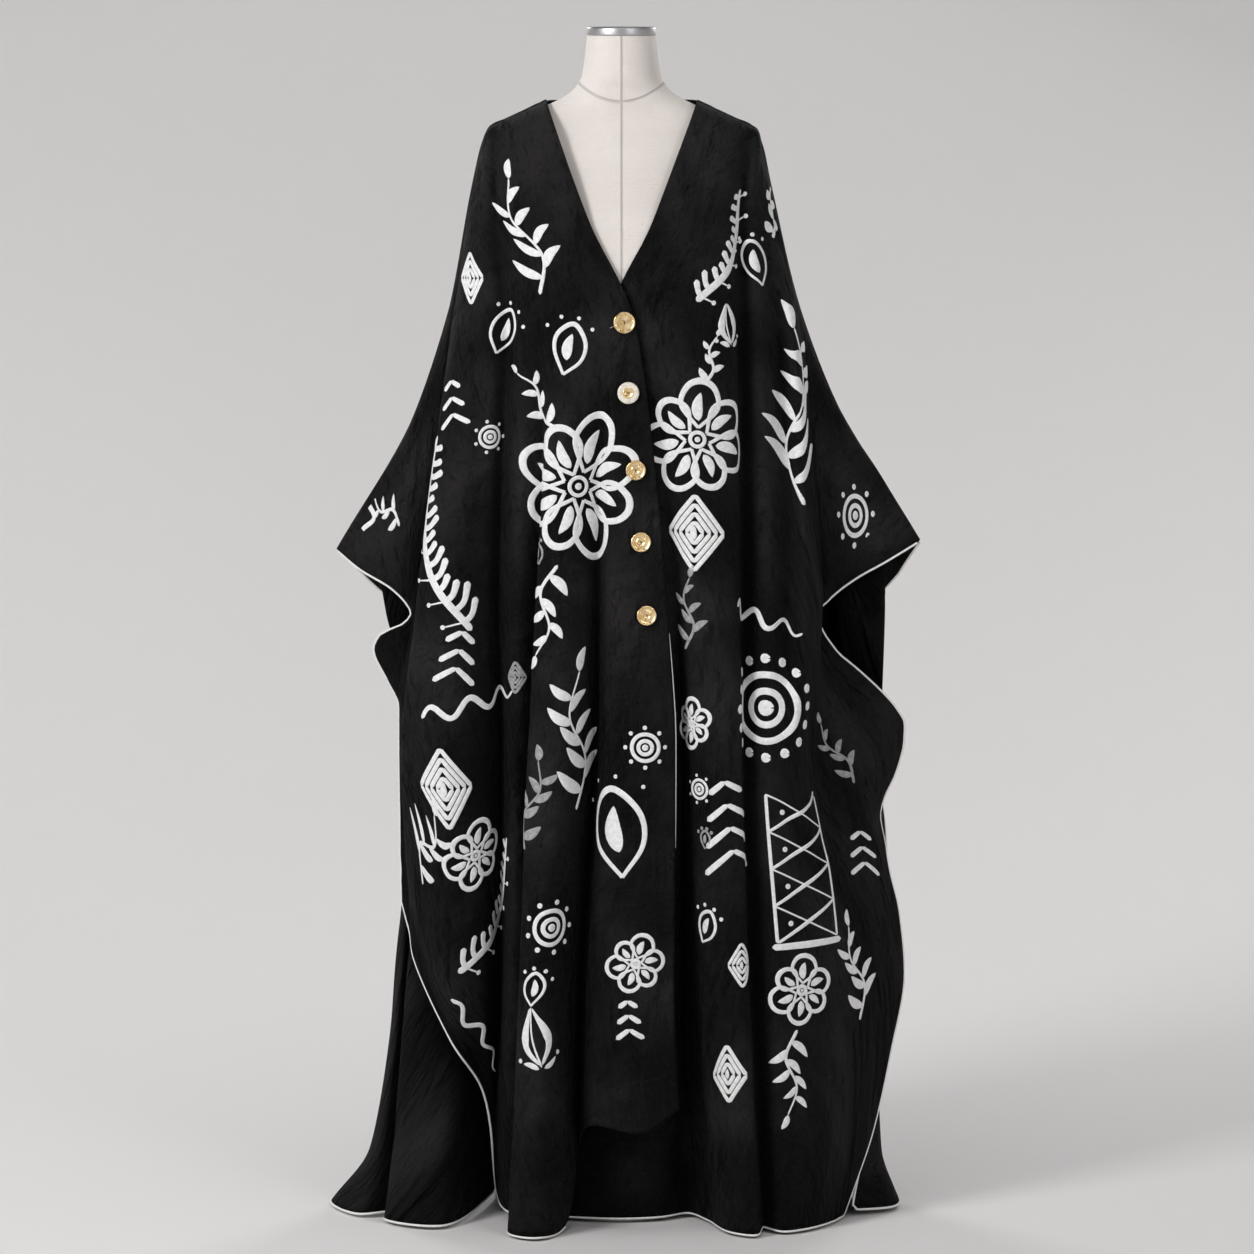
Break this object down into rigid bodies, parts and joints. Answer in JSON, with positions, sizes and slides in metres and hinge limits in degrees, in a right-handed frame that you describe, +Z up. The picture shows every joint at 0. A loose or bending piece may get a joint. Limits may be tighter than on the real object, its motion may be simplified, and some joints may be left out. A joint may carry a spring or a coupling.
{
  "type": "kaftan on a limbless dress form",
  "caption": "Floor-length open-front kaftan of black linen with wide batwing sleeves, white piping and gold buttons, hanging on a limbless cream dress form with a round base.",
  "frame": {"origin": "on the floor, at the middle of the underside of the stand's base", "axes": "+Z up through the pole and the neck, -Y out of the front of the garment, +X towards the wearer's left sleeve"},
  "size_m": [0.8615, 0.4195, 1.723],
  "materials": {
    "black_linen": "matte, plain weave with slubs and a soft sheen on the folds",
    "white_piping": "matte cotton cord",
    "cream_linen": "matte, plain weave with slubs",
    "gold_metal": "polished with fine scratches",
    "steel": "brushed"
  },
  "bodies": {
    "root": {"front_right": "black_linen", "front_left": "black_linen", "back": "black_linen", "piping_front_right": "white_piping", "piping_front_left": "white_piping", "piping_back": "white_piping", "dress_form": "cream_linen", "neck_cap": "steel", "pole": "steel", "base": "steel", "button_1": "gold_metal", "button_2": "gold_metal", "button_3": "gold_metal", "button_4": "gold_metal", "button_5": "gold_metal"}
  },
  "joints": []
}
